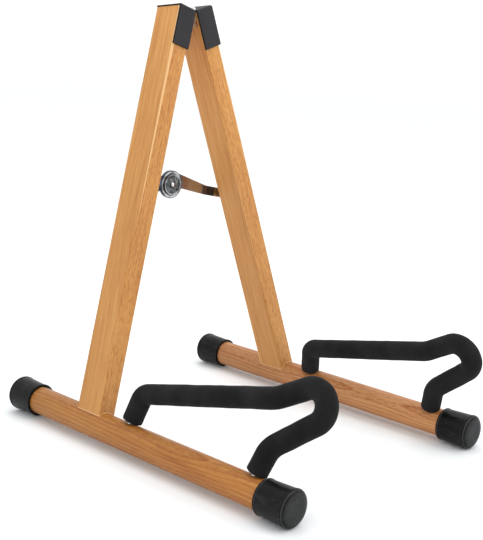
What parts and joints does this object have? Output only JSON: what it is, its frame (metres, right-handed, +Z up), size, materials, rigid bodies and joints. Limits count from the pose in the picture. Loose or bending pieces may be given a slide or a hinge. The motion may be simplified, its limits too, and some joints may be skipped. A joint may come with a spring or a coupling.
{
  "type": "guitar stand",
  "caption": "Folding wooden A-frame instrument stand with foam-covered wire yokes, padded post tops, rubber-capped round rails and a jointed steel stay.",
  "frame": {"origin": "on the floor under the middle of the stand: midway between the two rails, and midway from the front of the yokes to the rear caps", "axes": "+Z is up, -Y is the front, where the yokes reach forward and the pads face, and +X is to the right as the stand is seen from behind"},
  "size_m": [0.3334, 0.429, 0.4588],
  "materials": {
    "rail_beech": "satin clear lacquer, grain along the rail",
    "post_beech": "satin clear lacquer, grain along the post",
    "dowel_beech": "plain",
    "cap_rubber": "moulded, half gloss",
    "yoke_foam": "matte closed-cell foam",
    "pad_leatherette": "fine-grained imitation leather",
    "rod_steel": "bright drawn",
    "hinge_nickel": "nickel plated",
    "stay_steel": "bright zinc",
    "knee_chrome": "polished",
    "screw_steel": "zinc plated",
    "insert_brass": "plain"
  },
  "bodies": {
    "left_frame": {"left_rail": "rail_beech", "left_post": "post_beech", "left_front_cap": "cap_rubber", "left_rear_cap": "cap_rubber", "left_yoke_rod": "rod_steel", "left_yoke_foam": "yoke_foam", "left_rest_pad": "pad_leatherette", "left_foot_screw": "screw_steel", "left_foot_dowels": "dowel_beech", "left_hinge_leaf": "hinge_nickel", "left_hinge_screws": "screw_steel", "left_pivot_insert": "insert_brass", "left_pivot_spacer": "stay_steel", "left_pivot_screw": "screw_steel", "hinge_pin": "hinge_nickel"},
    "right_frame": {"right_rail": "rail_beech", "right_post": "post_beech", "right_front_cap": "cap_rubber", "right_rear_cap": "cap_rubber", "right_yoke_rod": "rod_steel", "right_yoke_foam": "yoke_foam", "right_rest_pad": "pad_leatherette", "right_foot_screw": "screw_steel", "right_foot_dowels": "dowel_beech", "right_hinge_leaf": "hinge_nickel", "right_hinge_screws": "screw_steel", "right_pivot_insert": "insert_brass", "right_pivot_spacer": "stay_steel"},
    "left_link": {"left_brace_link": "stay_steel", "knee_disc": "knee_chrome", "knee_washer": "stay_steel", "knee_rivet": "knee_chrome"},
    "right_link": {"right_brace_link": "stay_steel", "right_pivot_screw": "screw_steel"}
  },
  "joints": [
    {"name": "top_hinge_fold", "type": "hinge", "parent": "left_frame", "child": "right_frame", "pos_m": [0, 0.12324, 0.45268], "axis": [0, 1, 0], "range_deg": [0, 32]},
    {"name": "left_link_pivot", "type": "hinge", "parent": "left_frame", "child": "left_link", "pos_m": [-0.07811, 0.12597, 0.2426], "axis": [0, 1, 0], "range_deg": [-51.1, 0]},
    {"name": "knee_pivot", "type": "hinge", "parent": "left_link", "child": "right_link", "pos_m": [0, 0.13597, 0.25743], "axis": [0, 1, 0], "range_deg": [0, 133.9]}
  ],
  "couplings": [
    {"joint": "left_link_pivot", "follows": "top_hinge_fold", "ratio": -1.5867},
    {"joint": "knee_pivot", "follows": "top_hinge_fold", "ratio": 4.1735}
  ]
}
